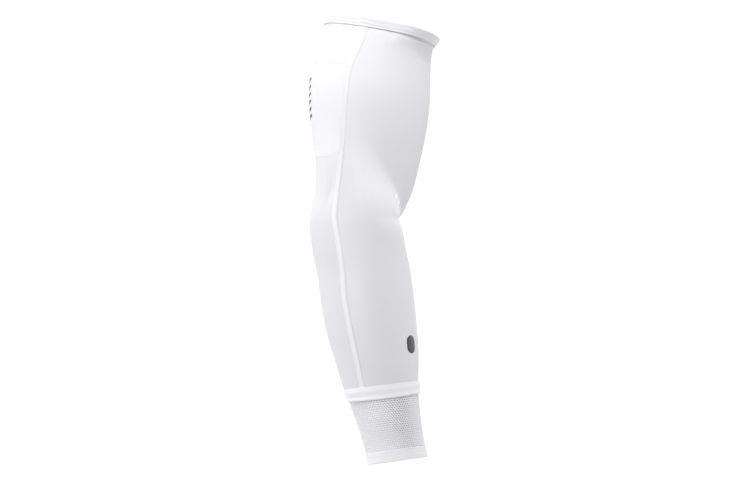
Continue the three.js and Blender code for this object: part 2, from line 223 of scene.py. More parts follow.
# The lobe of the forearm's cloth below the crease, its corner beside the front, and the gathers there.
LOBE_HEIGHT = 0.0046
LOBE_DOWN = 0.027
LOBE_BREADTH = 0.017
LOBE_ROUND = (0, 0.03)
CORNER_ABOVE = 0.004
GATHER_PITCH = 0.0052

# Columns: height, place and length below the crease, and place and breadth round from the front.
CORNER = (0.0042, 0.009, 0.016, 0.02, 0.016)
GATHERS = (0.0014, 0.001, 0.0022, 0.028, 0.011)

# Painted highlight on the forearm's lobe in the crook of the elbow; PAINTED_LIGHT_TONE is how much all
# painted light whitens the cloth.
PAINTED_LIGHT_TONE = 1.24
CROOK_HIGHLIGHT_DOWN = 0.017
CROOK_HIGHLIGHT_ABOVE = 0.007
CROOK_HIGHLIGHT_BREADTH = 0.015
CROOK_HIGHLIGHT_EDGE = 0.0012
CROOK_HIGHLIGHT_EDGE_GROWTH = 0.01
CROOK_HIGHLIGHT_SIDE_ROUND = (0.02, 0.065)
CROOK_HIGHLIGHT_END_ROUND = (0.058, 0.098)
CROOK_HIGHLIGHT_EVEN = 0.67
CROOK_HIGHLIGHT_PEAK_ROUND = 0.018
CROOK_HIGHLIGHT_PEAK_BREADTH = 0.013

# Soft patches of marks on the cloth: real wear at the back of the elbow, painted shade in the dent under the
# top band, and painted highlights.
# Columns: mark, strength, place and length along the arm, and angle and breadth round it.
PATCHES = (
    ("wear_and_shade", 0.8, 0.46, 0.06, 180, 42),
    # Painted shade in the dent under the top band's front end.
    ("wear_and_shade", 0.9, 0.075, 0.045, 24, 24),
    # Painted highlights on the outer side of the upper arm and forearm, towards the outer tape.
    ("painted_light", 0.2, 0.115, 0.075, 80, 30),
    ("painted_light", 0.2, 0.27, 0.07, 100, 22),
    ("painted_light", 0.24, 0.6, 0.11, 104, 13),
)

# Other marks, from 0 to 1: the rims' wear, and the shade under the upper rim, on its outer side.
RIM_WEAR_REACH = 0.0015
SHADE_TONE = 0.9
SHADE_REACH = 0.009
SHADE_ANGLE = 80
SHADE_BREADTH = 50

# Painted light, which whitens the cloth behind the seams, on the band's front and on the tapes, and a painted
# shade line on the pocket.
# PAST_TAPE and TAPE_ARC are degrees from the seam, and the places of POCKET_LIGHT and TAPED are shares.
BACK_LIGHT_TONE = 0.14
BACK_LIGHT_EDGE = (POCKET_DOWN + 0.0005, POCKET_DOWN + 0.002)
BELOW_POCKET_TONE = 0.26
BELOW_POCKET_REACH = 0.03
POCKET_LIGHT_TONE = 0.26
POCKET_LIGHT_DOWN = 0.295
POCKET_LIGHT_BREADTH = 0.045
POCKET_LINE_TONE = 0.9
POCKET_LINE_DOWN = POCKET_DOWN + 0.0022
POCKET_LINE_BREADTH = 0.0011
BAND_FRONT_TONE = 0.75
BAND_FRONT_BREADTH = 58
BAND_FRONT_SPARE = 0.0002
TAPED_TONE = 0.28
TAPED_DOWN = (0.27, 0.42)
PAST_TAPE = (2.2, 3.4)
TAPE_ARC = (2.8, 3.4)

# Cloth.
PANEL_THICKNESS = 0.0008
POCKET_THICKNESS = 0.0007
TUCK_DEPTH = 0.0026
FINE_STEP = 0.0016

# Puckers beside the seams, and the dip and gathers under the top band.
PUCKER_HEIGHT = 0.0001
PUCKER_PITCH = 0.0046
PUCKER_REACH = 0.0035
BAND_DIP = 0.0011
BAND_DIP_DOWN = 0.0012
BAND_DIP_LENGTH = 0.0021
BAND_DIP_ANGLE = 48
BAND_DIP_BREADTH = 38
BAND_GATHER_HEIGHT = 0.00013
BAND_GATHER_REACH = 0.005
BAND_GATHER_PITCH = 0.0062
RIM_RADIUS = 0.05
FREE_DOWN = 0.018
TUCKED_RIPPLE = 0.00005

# A doubled band's cross-section, with slots that take in the cloth beside it.
BAND_STEP = 0.0004
RIM_STEP = 0.0011
BAND_CROWN = 0.0001
BAND_EASE = 0.0001
GROOVE_BREADTH = 0.0006
LIP_UP = 0.0008
LIP_BREADTH = 0.0016
ROLL_DOWN = 0.0036
ROLL_BREADTH = 0.0024
SLOT_FACE = 0.00012
SLOT_SPARE = 0.0008
TURN_OUTSIDE = 0.0003
TURN_INSIDE = 0.0002
TURN_CLOSED = 0.0009
INNER_FLAP = 0.0005
SEAM_MARGIN = 2

# Zigzag of each seam's own threads, inside.
SEAM_PITCH = 0.0018
SEAM_REACH = 0.0017
SEAM_INSIDE = 0.0002
SEAM_START = 0.006
SEAM_END = 0.004

# Counts of places along the paths that stitches follow, and of columns round the two lower bands.
LEVEL_PLACES = 720
TAPE_PLACES = 900
POCKET_PLACES = 400
WRIST_BAND_COLUMNS = 220
CUFF_HEM_COLUMNS = 200


def value_at(column, down):
    """One value of the sections table, run smoothly through its rows, for an array of shares down."""
    downs, values = SECTIONS[:, 0], SECTIONS[:, SECTION_COLUMNS.index(column)]
    last = len(downs) - 1
    rows = np.arange(last + 1)
    before, after = np.maximum(rows - 1, 0), np.minimum(rows + 1, last)
    steepness = (values[after] - values[before]) / (downs[after] - downs[before])
    row = np.clip(np.searchsorted(downs, down, side="right") - 1, 0, last - 1)
    span = downs[row + 1] - downs[row]
    t = (down - downs[row]) / span
    ease = t * t * (3 - 2 * t)
    bend = t * (1 - t) * span * ((1 - t) * steepness[row] - t * steepness[row + 1])
    return values[row] * (1 - ease) + values[row + 1] * ease + bend


def arc_of(length, down):
    """The arc in degrees that a length takes up round the arm."""
    return np.degrees(length * 4 / (value_at("depth", down) + value_at("width", down)))


def wrapped(angle):
    """An angle brought to between -180 and 180."""
    return (angle + 180) % 360 - 180


def bump(distance, breadth):
    return np.exp(-(distance / breadth) ** 2)


def raised(feature, below, around):
    """A soft round feature, from its height at its middle and its two places and breadths."""
    height, middle, length, aside, breadth = feature
    return height * bump(below - middle, length) * bump(around - aside, breadth)


def eased(value, start, end):
    """0 before start, 1 after end, and smooth between them."""
    t = np.clip((value - start) / (end - start), 0, 1)
    return t * t * (3 - 2 * t)


def fold_height(down, angle):
    """How far the folds lift the fabric."""
    height = 0 * (down + angle)
    for fold_down, fold_angle, turn, length, breadth, rise in FOLDS:
        around = wrapped(angle - fold_angle) / arc_of(1, down)
        below = (down - fold_down) * SLEEVE_LENGTH
        cos, sin = math.cos(math.radians(turn)), math.sin(math.radians(turn))
        along = (below * cos - around * sin) / (length * ELBOW_DEPTH)
        across = (below * sin + around * cos) / (breadth * ELBOW_DEPTH)
        height = height + rise * ELBOW_DEPTH * np.exp(-along ** 2 - across ** 2)
    return height


def crease_place(down, angle):
    """How far round from the front a place is, and how far below the line of the elbow's crease."""
    around = np.abs(wrapped(angle)) / arc_of(1, down)
    slant = np.hypot(around, CREASE_ROUNDING)
    line = CREASE_DOWN * SLEEVE_LENGTH - (slant - CREASE_ROUNDING) * CREASE_CLIMB
    return around, (down * SLEEVE_LENGTH - line) / np.hypot(1, CREASE_CLIMB * around / slant)


def crease_height(down, angle):
    """The elbow's crease: the upper arm's cloth sinks to a sharp line, where the forearm's lobe rises."""
    around, below = crease_place(down, angle)
    reach = np.where(below < 0, CREASE_ABOVE, CREASE_BELOW)
    softness = CREASE_SOFTNESS * eased(around, *CREASE_SOFT_ROUND)
    deep = CREASE_FRONT_SHARE + (1 - CREASE_FRONT_SHARE) * eased(around, *CREASE_DEEP_ROUND)
    sunk = -CREASE_DEPTH * deep * np.exp((softness - np.hypot(below, softness)) / reach)
    lobe = LOBE_HEIGHT * bump(below - LOBE_DOWN, LOBE_BREADTH) * eased(around, *LOBE_ROUND)
    corner = raised(CORNER, below, around) * np.exp(np.minimum(below, 0) / CORNER_ABOVE)
    shown = 1 - eased(np.abs(wrapped(angle)), CREASE_END - CREASE_FADE, CREASE_END + CREASE_FADE)
    gathers = raised(GATHERS, below, around) * np.cos(2 * np.pi * around / GATHER_PITCH)
    return shown * (sunk + lobe + corner) + gathers


def surface(down, angle, offset):
    """Points over the fabric, for shares down, angles and heights over the outer face."""
    down, angle, offset = np.broadcast_arrays(down, angle, offset)
    cos, sin = np.cos(np.radians(angle)), np.sin(np.radians(angle))
    slope, rise = np.radians(value_at("slope", down)), np.radians(value_at("rise", down))
    half, side, skew = value_at("depth", down) / 2, value_at("width", down) / 2, value_at("skew", down)
    reach = half * np.where(cos > 0, 1 - skew, 1 + skew)
    steep = np.hypot(cos / reach, sin / side)
    lift = offset + fold_height(down, angle) + crease_height(down, angle)
    forward = skew * half + reach * cos + lift * cos / reach / steep
    outward = side * sin + lift * sin / side / steep
    return np.stack([
        value_at("x", down) * SLEEVE_LENGTH + forward * np.cos(slope),
        value_at("y", down) * SLEEVE_LENGTH - outward * np.cos(rise),
        -down * SLEEVE_LENGTH - forward * np.sin(slope) + outward * np.sin(rise),
    ], axis=-1)


def outward_at(down, angle):
    """Unit vectors out of the fabric."""
    reach = 0.001
    away = surface(down, angle, reach) - surface(down, angle, 0)
    return away / np.linalg.norm(away, axis=-1, keepdims=True)


def patches_at(mark, down, angle):
    """How strong the soft patches of one kind of mark are."""
    strength = 0 * (down + angle)
    for kind, most, middle, length, facing, breadth in PATCHES:
        if kind == mark:
            strength = strength + most * bump(down - middle, length) * bump(wrapped(angle - facing), breadth)
    return strength


def crook_highlight(down, angle):
    """Painted highlight on the lobe below the crease: a thin line at the front that grows wide and soft round
    both sides.
    """
    around, below = crease_place(down, angle)
    aside = eased(around, *CROOK_HIGHLIGHT_SIDE_ROUND)
    past = below - CROOK_HIGHLIGHT_DOWN * aside
    strength = bump(past, np.where(past < 0, CROOK_HIGHLIGHT_ABOVE * (1 + aside), CROOK_HIGHLIGHT_BREADTH))
    strength = strength * np.exp(np.minimum(below, 0) / (CROOK_HIGHLIGHT_EDGE + CROOK_HIGHLIGHT_EDGE_GROWTH * aside))
    peak = CROOK_HIGHLIGHT_EVEN + (1 - CROOK_HIGHLIGHT_EVEN) * bump(around - CROOK_HIGHLIGHT_PEAK_ROUND, CROOK_HIGHLIGHT_PEAK_BREADTH)
    return strength * peak * (1 - eased(around, *CROOK_HIGHLIGHT_END_ROUND))


def painted_back_light(down):
    """Painted light on the cloth behind the seams: above the pocket, on it, and just below it."""
    above = BACK_LIGHT_TONE * (1 - eased(down * SLEEVE_LENGTH, *BACK_LIGHT_EDGE))
    past = down - POCKET_END / SLEEVE_LENGTH
    pocket_light = POCKET_LIGHT_TONE * bump(down - POCKET_LIGHT_DOWN, POCKET_LIGHT_BREADTH) * (past < 0)
    return above + pocket_light + BELOW_POCKET_TONE * (past > 0) * np.exp(-np.maximum(past, 0) / BELOW_POCKET_REACH)


def marks_at(down, angle):
    """Marks on the cloth, from 0 to 1: one darkens it, as real wear and painted shade, and the other whitens
    it, as painted light.
    """
    length = down * SLEEVE_LENGTH
    rims = np.exp(-length / RIM_WEAR_REACH) + np.exp((length - SLEEVE_LENGTH) / RIM_WEAR_REACH)
    under_band = length - TOP_BAND_HEIGHT
    # Painted shade under the upper rim's band, on its outer side.
    shade = SHADE_TONE * bump(wrapped(angle - SHADE_ANGLE), SHADE_BREADTH) * (under_band > 0)
    shade = shade * np.exp(-np.maximum(under_band, 0) / SHADE_REACH)
    past_seam = np.abs(wrapped(angle)) - value_at("seam", down)
    behind = eased(past_seam, *PAST_TAPE)
    # Painted shade line under the pocket's open edge.
    pocket_line = POCKET_LINE_TONE * bump(length - POCKET_LINE_DOWN, POCKET_LINE_BREADTH) * behind
    # Painted highlight on the top band's front.
    band_front = BAND_FRONT_TONE * bump(wrapped(angle), BAND_FRONT_BREADTH) * (under_band < BAND_FRONT_SPARE)
    # Painted highlight on the tapes and beside them round the elbow.
    taped = TAPED_TONE * eased(down, *TAPED_DOWN) * (1 - eased(np.abs(past_seam), *TAPE_ARC))
    taped = taped * (length < WRIST_BAND_DOWN)
    # Real wear at the rims and the elbow, with painted shade under the band, in the dent and along the
    # pocket's edge.
    wear_and_shade = patches_at("wear_and_shade", down, angle) + rims + shade + pocket_line
    # Painted light: highlights on the arm and on the lobe below the crease.
    painted_light = patches_at("painted_light", down, angle) + crook_highlight(down, angle)
    # Painted light behind the seams, on the band's front and on the tapes.
    painted_light = painted_light + painted_back_light(down) * behind + band_front + taped
    return {"wear_and_shade": np.clip(wear_and_shade, 0, 1), "painted_light": np.clip(painted_light, 0, 1)}


def finished(name, points, faces, places, marks, material, smooth=50):
    """A mesh object from points, four-cornered faces, and a place on the cloth for each face's corner."""
    a, b, c, d = (points[faces[:, corner]] for corner in range(4))
    volume = np.einsum("ij,ij->", a, np.cross(b, c)) + np.einsum("ij,ij->", a, np.cross(c, d))
    if volume < 0:
        faces, places = faces[:, ::-1], places[:, ::-1]
    mesh = bpy.data.meshes.new(name)
    mesh.vertices.add(len(points))
    mesh.vertices.foreach_set("co", points.astype(np.float32).ravel())
    mesh.loops.add(faces.size)
    mesh.loops.foreach_set("vertex_index", faces.astype(np.int32).ravel())
    mesh.polygons.add(len(faces))
    mesh.polygons.foreach_set("loop_start", np.arange(0, faces.size, 4, dtype=np.int32))
    mesh.update(calc_edges=True)
    mesh.uv_layers.new(name="cloth").uv.foreach_set("vector", places.astype(np.float32).ravel())
    for mark, values in marks.items():
        attribute = mesh.attributes.new(mark, "FLOAT", "POINT")
        attribute.data.foreach_set("value", values.astype(np.float32).ravel())
    mesh.polygons.foreach_set("use_smooth", np.ones(len(faces), bool))
    mesh.set_sharp_from_angle(angle=math.radians(smooth))
    mesh.materials.append(material)
    piece = bpy.data.objects.new(name, mesh)
    bpy.context.scene.collection.objects.link(piece)
    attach(piece, "root")
    return piece


def swept(name, down, angle, offset, material, ring=False, across=None):
    """A closed skin: rows of the arrays run round its cross-section, and columns along the sweep."""
    rows, columns = down.shape
    spans = columns if ring else columns - 1
    row, column = (grid.ravel() for grid in np.meshgrid(np.arange(rows), np.arange(spans), indexing="ij"))
    face_rows = np.stack([row, row + 1, row + 1, row], axis=1)
    face_columns = np.stack([column, column, column + 1, column + 1], axis=1)
    if not ring:
        pair = np.arange(rows // 2 - 1)
        end = np.stack([pair, pair + 1, rows - 2 - pair, rows - 1 - pair], axis=1)
        face_rows = np.concatenate([face_rows, end, end[:, ::-1]])
        face_columns = np.concatenate([face_columns, 0 * end, 0 * end + columns - 1])
    faces = (face_rows % rows) * columns + face_columns % columns
    around = angle / 360 * MEAN_GIRTH if across is None else across
    turns = np.where(face_columns >= columns, MEAN_GIRTH, 0)
    places = np.stack([
        around[face_rows % rows, face_columns % columns] + turns,
        down[face_rows % rows, face_columns % columns] * SLEEVE_LENGTH,
    ], axis=2)
    points = surface(down, angle, offset).reshape(-1, 3)
    return finished(name, points, faces, places, marks_at(down, angle), material)


def walled(name, down, angle, outer, inner, material):
    """A piece between an outer and an inner face, over one grid of places."""
    return swept(
        name,
        np.concatenate([down, down[::-1]]),
        np.concatenate([angle, angle[::-1]]),
        np.concatenate([outer, inner[::-1]]),
        material,
    )


def steps(length, step=FINE_STEP):
    """How many steps of about that size fill a length."""
    return max(int(round(abs(length) / step)), 1)


def run(start, end, count):
    """Points of a cross-section in a straight line, without the last."""
    return [tuple(np.add(start, np.multiply(np.subtract(end, start), i / count))) for i in range(count)]


def turned_edge(start, end, bulge, count=5):
    """Points of a cross-section round a turned edge, which bulges along the fabric."""
    middle, half = np.add(start, end) / 2, np.subtract(start, end) / 2
    angles = np.pi * np.arange(count) / count
    return [tuple(middle + half * math.cos(turn) + np.array([bulge, 0]) * math.sin(turn)) for turn in angles]


def path_on(down, angle, offset):
    """A line over the fabric, with its length along it: dense arrays of down, angle, offset and length."""
    points = surface(down, angle, offset)
    lengths = np.concatenate([[0], np.cumsum(np.linalg.norm(np.diff(points, axis=0), axis=1))])
    return down, angle, offset, lengths


def along_path(path, at):
    down, angle, offset, lengths = path
    return tuple(np.interp(at, lengths, values) for values in (down, angle, offset))


# Stations along a stitch. Columns: share of its length, lift and thickness as shares of the thread's width.
STITCH_STATIONS = ((0, -0.55, 0.45), (0.12, 0.05, 0.85), (0.5, 0.35, 1), (0.88, 0.05, 0.85), (1, -0.55, 0.45))
STITCH_SIDES = 6
STITCH_CAPS = ((0, 1, 2, 3), (0, 3, 4, 5))


def stitch_shapes(starts, ends, ups, width):
    """Points and faces of short threads that rise out of the cloth, run along it and dive back in."""
    count = len(starts)
    side = np.cross(ends - starts, ups)
    side /= np.linalg.norm(side, axis=1, keepdims=True)
    rings = []
    for share, lift, thick in STITCH_STATIONS:
        middle = starts + (ends - starts) * share + ups * (lift * width)
        for turn in 2 * np.pi * np.arange(STITCH_SIDES) / STITCH_SIDES:
            reach = thick * width / 2
            rings.append(middle + side * (reach * math.cos(turn)) + ups * (reach * math.sin(turn)))
    points = np.stack(rings, axis=1)
    tail = (len(STITCH_STATIONS) - 1) * STITCH_SIDES
    faces = []
    for base in range(0, tail, STITCH_SIDES):
        for corner in range(STITCH_SIDES):
            following = (corner + 1) % STITCH_SIDES
            near, far = base + corner, base + following
            faces.append((near, far, far + STITCH_SIDES, near + STITCH_SIDES))
    for cap in STITCH_CAPS:
        faces.append(cap[::-1])
        faces.append(tuple(tail + corner for corner in cap))
    faces = np.array(faces)[None] + (np.arange(count) * points.shape[1])[:, None, None]
    return points.reshape(-1, 3), faces.reshape(-1, 4)


def stitches(name, rows, width, material):
    """One object of many stitches. Each row gives the downs, angles and offsets of their two ends."""
    points, faces, total = [], [], 0
    for start, end in rows:
        outward = outward_at((start[0] + end[0]) / 2, (start[1] + end[1]) / 2)
        shape, quads = stitch_shapes(surface(*start), surface(*end), outward, width)
        points.append(shape)
        faces.append(quads + total)
        total += len(shape)
    points, faces = np.concatenate(points), np.concatenate(faces)
    places = points[faces][:, :, [0, 2]]
    return finished(name, points, faces, places, {}, material, smooth=75)


def running_stitch(path, pitch, length):
    """A row of straight stitches along a path."""
    at = np.arange(0, path[3][-1] - length, pitch)
    return along_path(path, at), along_path(path, at + length)


def level_path(down, first, last, offset, row, sag):
    """A path round the arm, a row below a height under the rim, which may sag at both sides."""
    angle = np.linspace(first, last, LEVEL_PLACES)
    below = row * (1 + sag * np.sin(np.radians(angle)) ** 2)
    return path_on((down + below) / SLEEVE_LENGTH, angle, np.full(LEVEL_PLACES, offset))


def length_property(name, default, least, most, description):
    return FloatProperty(
        name=name, description=description, default=default, min=least, max=most,
        precision=5, subtype="DISTANCE", unit="LENGTH",
    )


def colour_property(name, description, default):
    return FloatVectorProperty(
        name=name, description=description, default=default, size=3, min=0, max=1, subtype="COLOR",
    )


class SleeveCloth(PropertyGroup):
    wale_width: length_property("Wale width", 0.0008, 0.0003, 0.005, "Width of one column of knitted loops")
    course_height: length_property("Course height", 0.00062, 0.0003, 0.005, "Height of one row of loops")
    knit_relief: length_property("Knit relief", 0.00009, 0, 0.001, "Height of the loops over the cloth")
    net_pitch: length_property("Net pitch", 0.0023, 0.0015, 0.01, "Distance from one hole to the next")
    net_hole: length_property("Net hole", 0.00135, 0.0005, 0.008, "Width of one hole of the net")
    net_thickness: length_property("Net thickness", 0.0007, 0.0002, 0.002, "Thickness of the net")


class SleeveThread(PropertyGroup):
    width: length_property("Thread width", 0.00045, 0.0001, 0.002, "Thickness of the sewing thread")
    pitch: length_property("Stitch pitch", 0.0027, 0.001, 0.01, "Distance from one stitch to the next")
    length: length_property("Stitch length", 0.0021, 0.0005, 0.01, "Length that shows in one stitch")


class SleeveColours(PropertyGroup):
    knit: colour_property("Knit", "Single layer of jersey in the panels", (0.80, 0.794, 0.83))
    pocket: colour_property("Pocket", "Jersey of the pocket, doubled over the panel", (0.86, 0.853, 0.894))
    rim: colour_property("Rim", "Doubled jersey of the upper rim's band", (0.8, 0.796, 0.82))
    band: colour_property("Band", "Doubled jersey of the wrist band and the hem", (0.94, 0.935, 0.96))
    tape: colour_property("Tape", "Smooth tape over the seams", (0.86, 0.854, 0.885))
    net: colour_property("Net", "Warp-knitted net at the wrist", (0.85, 0.842, 0.88))
    thread: colour_property("Thread", "Sewing thread", (0.93, 0.93, 0.94))
    print_film: colour_property("Print", "Reflective film of the dashes and the bar", (0.03, 0.03, 0.033))


class SleeveStage(PropertyGroup):
    floor: colour_property("Floor", "Plain pale floor", (0.86, 0.86, 0.87))
    backdrop: FloatProperty(
        name="Backdrop", description="Brightness of the white surroundings behind the sleeve", default=1.08,
        min=0, max=5,
    )
    fill: FloatProperty(
        name="Fill", description="Brightness of the surroundings on the camera's side", default=0.235,
        min=0, max=5,
    )
    key: FloatProperty(
        name="Key light", description="Power of the soft light from above the camera", default=7.1,
        min=0, max=200, unit="POWER",
    )


def settings():
    scene = bpy.context.scene
    return scene.sleeve_cloth, scene.sleeve_thread, scene.sleeve_colours


class Nodes:
    """Short ways to add and join the nodes of one material."""

    def __init__(self, name):
        self.material = bpy.data.materials.new(name)
        self.material.use_nodes = True
        self.tree = self.material.node_tree
        self.shader = self.tree.nodes["Principled BSDF"]

    def add(self, kind, inputs=None, **attributes):
        made = self.tree.nodes.new(kind)
        for name, value in attributes.items():
            setattr(made, name, value)
        for name, value in (inputs or {}).items():
            self.put(made.inputs[name], value)
        return made

    def put(self, socket, value):
        if isinstance(value, bpy.types.NodeSocket):
            self.tree.links.new(value, socket)
        else:
            socket.default_value = value

    def maths(self, operation, *values):
        made = self.add("ShaderNodeMath", operation=operation)
        for socket, value in zip(made.inputs, values):
            self.put(socket, value)
        return made.outputs[0]

    def place(self):
        return self.add("ShaderNodeTexCoord").outputs["Object"]

    def mark(self, name):
        return self.add("ShaderNodeAttribute", attribute_name=name).outputs["Fac"]

    def noise(self, coordinates, scale, detail):
        inputs = {"Vector": coordinates, "Scale": scale, "Detail": detail}
        return self.add("ShaderNodeTexNoise", inputs).outputs["Fac"]

    def spread(self, value, low, high, new_low, new_high):
        inputs = {"Value": value, "From Min": low, "From Max": high, "To Min": new_low, "To Max": new_high}
        return self.add("ShaderNodeMapRange", inputs).outputs["Result"]

    def bumped(self, height, strength, distance, **before):
        inputs = {"Height": height, "Strength": strength, "Distance": distance, **before}
        return self.add("ShaderNodeBump", inputs).outputs["Normal"]

    def mixed(self, factor, first, second):
        """A mix of two colours, whose sockets are numbered because other kinds of data share their names."""
        made = self.add("ShaderNodeMix", data_type="RGBA")
        for number, value in ((0, factor), (6, first), (7, second)):
            self.put(made.inputs[number], value)
        return made.outputs[2]

    def coat(self, colour, roughness, normal):
        for name, value in (("Base Color", colour), ("Roughness", roughness), ("Normal", normal)):
            self.put(self.shader.inputs[name], value)


def full(colour, share=1.0):
    return tuple(channel * share for channel in colour) + (1.0,)


def knitted(nodes, wale, course):
    """Height of a plain knit's loops, from 0 to 1: columns of slanted threads that meet in points."""
    laid = nodes.add("ShaderNodeUVMap", uv_map="cloth").outputs["UV"]
    place = nodes.add("ShaderNodeSeparateXYZ", {"Vector": laid})
    across = nodes.maths("FRACT", nodes.maths("DIVIDE", place.outputs["X"], wale))
    aside = nodes.maths("ABSOLUTE", nodes.maths("SUBTRACT", across, 0.5))
    slanted = nodes.maths("ADD", nodes.maths("DIVIDE", place.outputs["Y"], course), aside)
    loops = nodes.maths("SINE", nodes.maths("MULTIPLY", slanted, 2 * math.pi))
    columns = nodes.maths("COSINE", nodes.maths("MULTIPLY", aside, 2 * math.pi))
    return nodes.maths("ADD", nodes.spread(loops, -1, 1, 0, 0.55), nodes.spread(columns, -1, 1, 0, 0.45))


# Scales of the materials' patterns, in cycles for each metre, and how far they change a colour.
CLOUD_SCALE = 28
YARN_SCALE = 900
MARK_PATCH_SCALE = 260
TWIST_SCALE = 900
THREAD_TONE_SCALE = 300
BEAD_SCALE = 5000
SCUFF_SCALE = 420
CLOUD_TONE = 0.985
# How far painted shade darkens the knit's valleys.
VALLEY_SHADE_TONE = 0.7
# How far real wear and painted shade darken the cloth.
WEAR_AND_SHADE_TONE = 0.86
WEAR_AND_SHADE_SHARE = 0.35
THREAD_TONE = 0.92
SCUFF_TONE = 2.4


def cloth_material(name, colour, wale, course, relief, roughness=0.82):
    """Knitted cloth with fine loops, uneven yarn, soft sheen, slight wear, and painted shade and light."""
    nodes = Nodes(name)
    at = nodes.place()
    loops = knitted(nodes, wale, course)
    yarn = nodes.noise(at, YARN_SCALE, 2)
    # Real wear and painted shade, made patchy by noise, darken the cloth.
    mark_patchiness = nodes.spread(nodes.noise(at, MARK_PATCH_SCALE, 4), 0.35, 0.7, 0.1, 1)
    wear_and_shade = nodes.maths("MULTIPLY", nodes.mark("wear_and_shade"), mark_patchiness)
    clouds = nodes.spread(nodes.noise(at, CLOUD_SCALE, 4), 0.3, 0.7, 0, 1)
    stretched = nodes.mixed(clouds, full(colour, CLOUD_TONE), full(colour))
    # Painted light whitens the cloth where it is marked.
    plain = nodes.mixed(nodes.mark("painted_light"), stretched, full(colour, PAINTED_LIGHT_TONE))
    # Painted shade in the valleys between the loops.
    shaded_valleys = nodes.mixed(nodes.spread(loops, 0, 0.45, 0.16, 0), plain, full(colour, VALLEY_SHADE_TONE))
    worn_and_shaded = nodes.mixed(nodes.maths("MULTIPLY", wear_and_shade, WEAR_AND_SHADE_SHARE), shaded_valleys, full(colour, WEAR_AND_SHADE_TONE))
    fuzz = nodes.maths("ADD", nodes.maths("MULTIPLY", wear_and_shade, yarn), yarn)
    weave = nodes.bumped(loops, 0.8, relief, Normal=nodes.bumped(fuzz, 0.12, 0.0001))
    nodes.coat(worn_and_shaded, nodes.spread(yarn, 0.3, 0.7, roughness - 0.06, roughness + 0.08), weave)
    nodes.shader.inputs["Sheen Weight"].default_value = 0.25
    nodes.shader.inputs["Sheen Roughness"].default_value = 0.45
    nodes.shader.inputs["Specular IOR Level"].default_value = 0.25
    return nodes.material


def thread_material(name, colour):
    """Sewing thread: twisted, a little shinier than the cloth."""
    nodes = Nodes(name)
    at = nodes.place()
    wave = {"Vector": at, "Scale": TWIST_SCALE, "Distortion": 1.5}
    twist = nodes.add("ShaderNodeTexWave", wave, bands_direction="DIAGONAL").outputs["Fac"]
    tone = nodes.mixed(nodes.noise(at, THREAD_TONE_SCALE, 2), full(colour, THREAD_TONE), full(colour))
    nodes.coat(tone, nodes.spread(twist, 0, 1, 0.5, 0.62), nodes.bumped(twist, 0.4, 0.00008))
    nodes.shader.inputs["Sheen Weight"].default_value = 0.1
    return nodes.material


def film_material(name, colour):
    """Reflective transfer film: fine beads, satin, with scuffed edges."""
    nodes = Nodes(name)
    at = nodes.place()
    beads = nodes.add("ShaderNodeTexVoronoi", {"Vector": at, "Scale": BEAD_SCALE}).outputs["Distance"]
    scuffs = nodes.spread(nodes.noise(at, SCUFF_SCALE, 5), 0.58, 0.7, 0, 0.5)
    tone = nodes.mixed(scuffs, full(colour), full(colour, SCUFF_TONE))
    nodes.coat(tone, nodes.spread(scuffs, 0, 0.5, 0.38, 0.6), nodes.bumped(beads, 0.25, 0.00005))
    nodes.shader.inputs["Specular IOR Level"].default_value = 0.35
    return nodes.material


def once(name, make, *values, **named):
    """The material of that name, made by the first piece that wears it."""
    return bpy.data.materials.get(name) or make(name, *values, **named)


def jersey(name, colour, fineness=1.0, **named):
    cloth = settings()[0]
    return once(name, cloth_material, colour, cloth.wale_width * fineness, cloth.course_height * fineness,
                cloth.knit_relief, **named)


def thread():
    return once("sewing_thread", thread_material, settings()[2].thread)


def seam_ripple(down, angle):
    """Small puckers in the panels beside both seam tapes."""
    beside = np.abs(np.abs(wrapped(angle)) - value_at("seam", down)) / arc_of(1, down) - TAPE_WIDTH / 2
    fading = np.exp(-np.maximum(beside, 0) / PUCKER_REACH)
    return PUCKER_HEIGHT * fading * (np.sin(2 * np.pi * down * SLEEVE_LENGTH / PUCKER_PITCH) - 0.3)


def band_ripple(down, angle):
    """The panels dip and gather a little where they come out from under the top band."""
    below = down * SLEEVE_LENGTH - TOP_BAND_HEIGHT
    dip = BAND_DIP * bump(below - BAND_DIP_DOWN, BAND_DIP_LENGTH)
    dip = dip * bump(wrapped(angle - BAND_DIP_ANGLE), BAND_DIP_BREADTH)
    turns = 2 * np.pi * np.radians(angle) * RIM_RADIUS / BAND_GATHER_PITCH
    gathers = np.exp(-np.maximum(below, 0) / BAND_GATHER_REACH) * np.sin(turns + np.sin(turns * 0.31))
    return BAND_GATHER_HEIGHT * gathers - dip


def panel_piece(side, width, is_back):
    """One knitted panel, from inside the top band to inside the wrist band, and from seam to seam."""
    top = (TOP_BAND_HEIGHT - TUCK_DEPTH) / SLEEVE_LENGTH
    bottom = (WRIST_BAND_DOWN + TUCK_DEPTH) / SLEEVE_LENGTH
    downs = np.linspace(top, bottom, steps((bottom - top) * SLEEVE_LENGTH) + 1)
    share = np.linspace(0, 1, steps(width) + 1)
    seam = value_at("seam", downs)[:, None]
    angles = seam + (360 - 2 * seam) * share if is_back else seam * (2 * share - 1)
    down = np.broadcast_to(downs[:, None], angles.shape)
    ripple = seam_ripple(down, angles) + band_ripple(down, angles)
    free = (down > FREE_DOWN) & (down < WRIST_BAND_DOWN / SLEEVE_LENGTH)
    outer = np.where(free, ripple, np.minimum(ripple, TUCKED_RIPPLE))
    cloth = jersey("knit_cloth", settings()[2].knit)
    piece = walled(f"{side}_panel_cloth", down, angles, outer, outer - PANEL_THICKNESS, cloth)
    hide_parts(f"{side}_panel")
    return piece


